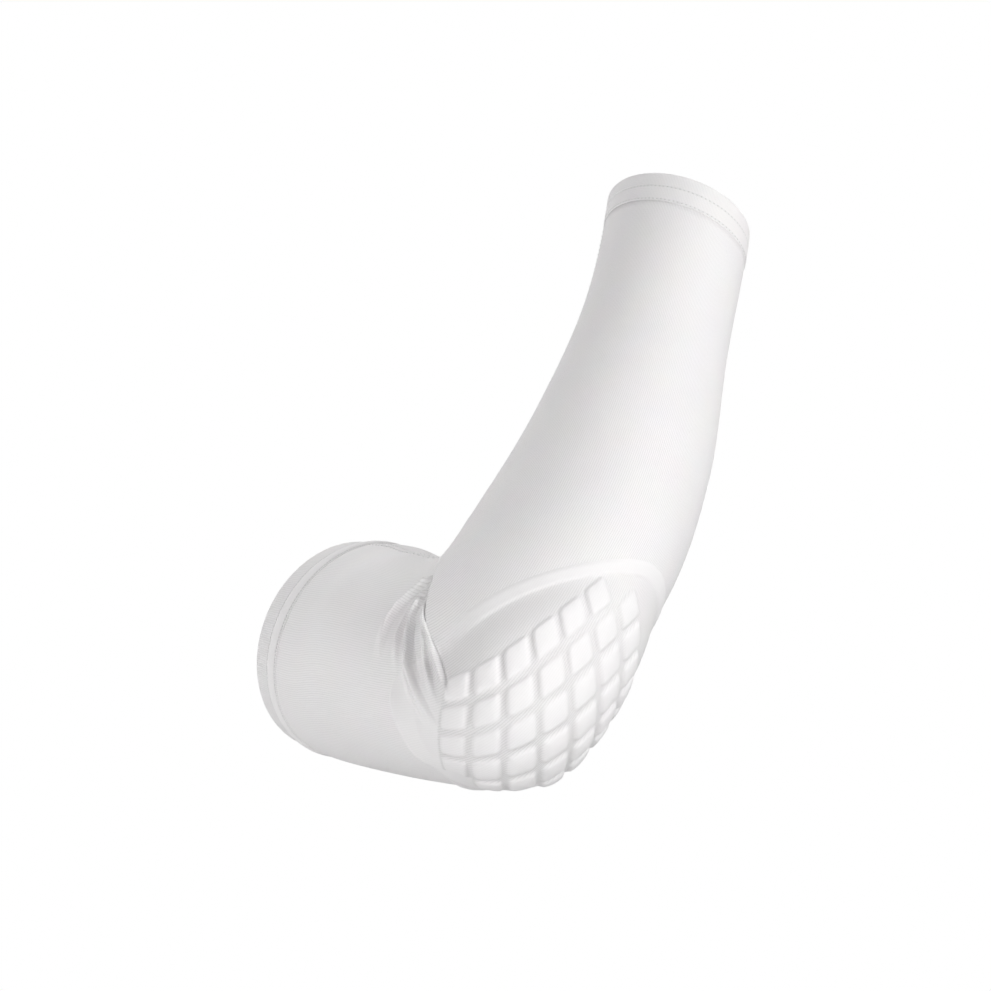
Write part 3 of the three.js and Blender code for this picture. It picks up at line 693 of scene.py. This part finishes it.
def lattice_at(place, angle):
    """Row and column, as real numbers, of a place and angle on the pad's lattice of blocks. Its steps change
    from block to block, so these are found in a few rounds."""
    along = (place - LATTICE["place"]) / STEP_ALONG["place"]
    around = (angle - LATTICE["angle"]) / STEP_AROUND["angle"]
    for _ in range(LATTICE_ROUNDS):
        spare = place - LATTICE["place"] - STEP_ALONG["growth"] * along ** 2 - STEP_AROUND["place"] * around
        along = spare / STEP_ALONG["place"]
        spare = angle - LATTICE["angle"] + STEP_AROUND["shrink"] * around ** 3 - STEP_ALONG["angle"] * along
        around = np.clip(spare / STEP_AROUND["angle"], -LATTICE_REACH, LATTICE_REACH)
    return (around + LATTICE_LAST - along) / 2, (around + LATTICE_LAST + along) / 2


# Block names count rows and columns from 1, so the table of cells has an empty margin all round.
blocks = [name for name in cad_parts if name.startswith("pad_block")]
has_block = np.zeros((LATTICE_LAST + 3, LATTICE_LAST + 3), bool)
for name in blocks:
    block_row, block_column = (int(part[1:]) for part in name.split("_")[2:])
    has_block[block_row, block_column] = True


def pad_relief(place, angle):
    """Height of the covered pad over the folded sleeve, how much painted shade a point takes in the grooves,
    and where the knit is pressed, with painted light on the welt of the upper-arm side. The knit spans the
    grooves of the outermost columns, so they take less painted shade."""
    around, along = pad_shares(place, angle)
    distance = pad_distance(around, along)
    row, column = lattice_at(place, PAD_CENTRE["angle"] + around * PAD_HALF_ANGLE)
    near_row, near_column = np.round(row), np.round(column)
    cell_row = np.clip(near_row + 1, 0, LATTICE_LAST + 2).astype(int)
    cell_column = np.clip(near_column + 1, 0, LATTICE_LAST + 2).astype(int)
    off = np.abs(row - near_row) ** BLOCK_SQUARENESS + np.abs(column - near_column) ** BLOCK_SQUARENESS
    off = off ** (1 / BLOCK_SQUARENESS)
    block = smooth((BLOCK_FOOT - off) / (BLOCK_FOOT - BLOCK_TOP)) * has_block[cell_row, cell_column]
    crown = np.clip(1 - (off / BLOCK_TOP) ** 2, 0, 1) * has_block[cell_row, cell_column]
    dome = smooth((DOME_EDGE - distance) / DOME_WIDTH)
    band = smooth((distance - BAND["start"]) / (BAND["top"] - BAND["start"]))
    band = band * smooth((along - BAND_PART["start"]) / BAND_PART["blend"]) * (1 - block)
    # Painted light: the welt takes the pressed knit's lighter colour and loses most of the grooves' painted
    # shade.
    lit_welt = smooth((LIT_WELT["start"] - along) / LIT_WELT["blend"]) * ~has_block[cell_row, cell_column]
    pressed_and_lit = band * (1 - smooth((distance - BOND_EDGE["start"]) / BOND_EDGE["blend"]))
    pressed_and_lit = pressed_and_lit + lit_welt * (1 - smooth((distance - LIT_WELT["edge"]) / LIT_WELT["edge_blend"]))
    pressed_and_lit = BLOCK_BOND * np.clip(pressed_and_lit + block, 0, 1)
    band = band * (1 - smooth((distance - BAND["edge"]) / (BAND["end"] - BAND["edge"])))
    skirt = smooth((1 - distance) / SKIRT_EDGE) * smooth((SKIRT_PART["start"] - along) / SKIRT_PART["blend"])
    relief = DOME_RISE * dome + BLOCK_RISE * block + BLOCK_CROWN * crown
    relief = relief + BAND_RISE * band + SKIRT_RISE * skirt
    relief = relief + PAD_UNDER * smooth((distance - PAD_TURN_UNDER["start"]) / PAD_TURN_UNDER["blend"])
    spanned = SPANNED["share"] * smooth((column - SPANNED["start"]) / SPANNED["blend"])
    # Painted shade in the grooves, less on the welt, on the outermost columns, towards the pad's edge and
    # where the knit is pressed.
    groove = (1 - block) * (1 - LIT_WELT["shade_lost"] * lit_welt) * (1 - spanned)
    groove = groove * smooth((GROOVE_END["at"] - distance) / GROOVE_END["blend"]) * (1 - pressed_and_lit)
    return relief, groove, pressed_and_lit


pad, across, row = grid_sheet(PAD_COLUMNS, PAD_ROWS)
square_x = np.interp(across, [0, PAD_NEAR_COLUMNS, 1], [-1, 0, 1])
square_y = row * 2 - 1
disc_x = PAD_REACH * square_x * np.sqrt(1 - square_y ** 2 / 2)
disc_y = PAD_REACH * square_y * np.sqrt(1 - square_x ** 2 / 2)
pad_angle = PAD_CENTRE["angle"] + PAD_HALF_ANGLE * disc_x
pad_half = np.where(disc_y > 0, FOREARM_SIDE["half"], UPPER_ARM_SIDE["half"])
pad_place = PAD_CENTRE["place"] + pad_half * disc_y + PAD_TWIST * disc_x
relief, groove, pressed_and_lit = pad_relief(pad_place, pad_angle)
lay_on_sleeve(pad, pad_place, pad_angle, relief, 1)
mark_points(pad, "groove", groove)
mark_points(pad, "pressed_and_lit", pressed_and_lit)
pad_knit = knit_material("pad_knit", KNIT_WHITE, PAD_SHADE, ribs=0.34, groove=PAD_GROOVE_SHADE, groove_ribs=0.7)
elbow_pad = finish_piece("elbow_pad_cover", pad, pad_knit)
foam = elbow_pad.modifiers.new("foam_back", "SOLIDIFY")
foam.thickness = FOAM_BACK
foam.offset = -1
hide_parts("pad_panel", *blocks)

# Studio: a pale floor well under the sleeve, a white backdrop all round, two large soft lights from the
# camera's right, a weaker one on its left, dim ones from above and from the far left, and one from behind.
VIEW_AZIMUTH = math.radians(61.3)
VIEW_ELEVATION = math.radians(-17.0)
VIEW_ROLL = math.radians(33.8)
VIEW_DISTANCE = 1.534
METRES_PER_PIXEL = 0.000385
PICTURE_SIDE = 991
SENSOR_WIDTH = 36
ELBOW_PIXEL = (502.5, 679.1)
back = Vector((math.sin(VIEW_AZIMUTH) * math.cos(VIEW_ELEVATION),
               -math.cos(VIEW_AZIMUTH) * math.cos(VIEW_ELEVATION), math.sin(VIEW_ELEVATION)))
level_right = (-back).cross(Vector((0, 0, 1))).normalized()
level_up = level_right.cross(-back)
right = math.cos(VIEW_ROLL) * level_right + math.sin(VIEW_ROLL) * level_up
up = -math.sin(VIEW_ROLL) * level_right + math.cos(VIEW_ROLL) * level_up
aside = (ELBOW_PIXEL[0] - PICTURE_SIDE / 2) * METRES_PER_PIXEL
above = (ELBOW_PIXEL[1] - PICTURE_SIDE / 2) * METRES_PER_PIXEL
camera_data = bpy.data.cameras.new("camera")
camera_data.sensor_width = SENSOR_WIDTH
camera_data.lens = SENSOR_WIDTH * VIEW_DISTANCE / (METRES_PER_PIXEL * PICTURE_SIDE)
camera_data.clip_start = 0.05
camera = bpy.data.objects.new("camera", camera_data)
bpy.context.scene.collection.objects.link(camera)
place_in_view = back * VIEW_DISTANCE - right * aside + up * above
camera.matrix_world = Matrix.Translation(place_in_view) @ Matrix((right, up, back)).transposed().to_4x4()
bpy.context.scene.camera = camera


SLEEVE_MIDDLE = Vector((-0.03, 0, 0.07))


def soft_light(name, direction, distance, size, power):
    """A round soft light that looks at the middle of the sleeve from a direction and distance."""
    data = bpy.data.lights.new(name, "AREA")
    data.shape = "DISK"
    data.size = size
    data.energy = power
    lamp = bpy.data.objects.new(name, data)
    bpy.context.scene.collection.objects.link(lamp)
    aim = direction.normalized()
    turn = aim.to_track_quat("Z", "Y").to_matrix().to_4x4()
    lamp.matrix_world = Matrix.Translation(SLEEVE_MIDDLE + aim * distance) @ turn


soft_light("key_light", 0.79 * right + 0.46 * up + 0.41 * back, distance=1.6, size=0.9, power=9.7)
soft_light("front_light", 0.71 * right + 0.71 * back, distance=1.6, size=0.8, power=9.7)
soft_light("fill_light", -0.62 * right + 0.79 * back, distance=1.1, size=1.0, power=6.4)
soft_light("top_light", 0.5 * right + 0.86 * up + 0.09 * back, distance=1.4, size=0.8, power=2.9)
soft_light("rim_light", -0.75 * right + 0.45 * up - 0.5 * back, distance=0.85, size=0.6, power=2.1)
soft_light("back_light", 0.2 * right + 0.61 * up - 0.77 * back, distance=1.4, size=1.0, power=8.6)

AMBIENT_LIGHT = 0.19
world = bpy.data.worlds.new("white_studio")
bpy.context.scene.world = world
world.use_nodes = True
nodes, links = world.node_tree.nodes, world.node_tree.links
ambient = nodes["Background"]
ambient.inputs["Color"].default_value = (1, 1, 1, 1)
ambient.inputs["Strength"].default_value = AMBIENT_LIGHT
backdrop = nodes.new("ShaderNodeBackground")
backdrop.inputs["Strength"].default_value = 1.0
backdrop.inputs["Color"].default_value = (1, 1, 1, 1)
seen = nodes.new("ShaderNodeLightPath")
mixed = nodes.new("ShaderNodeMixShader")
links.new(seen.outputs["Is Camera Ray"], mixed.inputs[0])
links.new(ambient.outputs[0], mixed.inputs[1])
links.new(backdrop.outputs[0], mixed.inputs[2])
links.new(mixed.outputs[0], nodes["World Output"].inputs["Surface"])
bpy.context.scene.view_settings.view_transform = "Standard"

FLOOR_LEVEL = -0.62
FLOOR_HALF_SIDE = 2.5
FLOOR_WHITES = [(0.86, 0.86, 0.86, 1), (0.9, 0.9, 0.9, 1)]
FLOOR_GLOW = 0.55
ground = bmesh.new()
bmesh.ops.create_grid(ground, x_segments=2, y_segments=2, size=FLOOR_HALF_SIDE,
                      matrix=Matrix.Translation((0, 0, FLOOR_LEVEL)))
floor_mesh = bpy.data.meshes.new("floor")
ground.to_mesh(floor_mesh)
ground.free()
floor = bpy.data.objects.new("floor", floor_mesh)
bpy.context.scene.collection.objects.link(floor)
pale = bpy.data.materials.new("pale_floor")
pale.use_nodes = True
nodes, links = pale.node_tree.nodes, pale.node_tree.links
surface = nodes["Principled BSDF"]
surface.inputs["Roughness"].default_value = 0.9
grain = nodes.new("ShaderNodeTexNoise")
grain.inputs["Scale"].default_value = 30
shade = nodes.new("ShaderNodeMix")
shade.data_type = "RGBA"
shade.inputs["A"].default_value = FLOOR_WHITES[0]
shade.inputs["B"].default_value = FLOOR_WHITES[1]
spot = nodes.new("ShaderNodeTexCoord")
links.new(spot.outputs["Object"], grain.inputs["Vector"])
links.new(grain.outputs[0], shade.inputs["Factor"])
links.new(shade.outputs["Result"], surface.inputs["Base Color"])
links.new(shade.outputs["Result"], surface.inputs["Emission Color"])
view = nodes.new("ShaderNodeLightPath")
glow = nodes.new("ShaderNodeMath")
glow.operation = "MULTIPLY"
glow.inputs[1].default_value = FLOOR_GLOW
links.new(view.outputs["Is Camera Ray"], glow.inputs[0])
links.new(glow.outputs[0], surface.inputs["Emission Strength"])
floor_mesh.materials.append(pale)
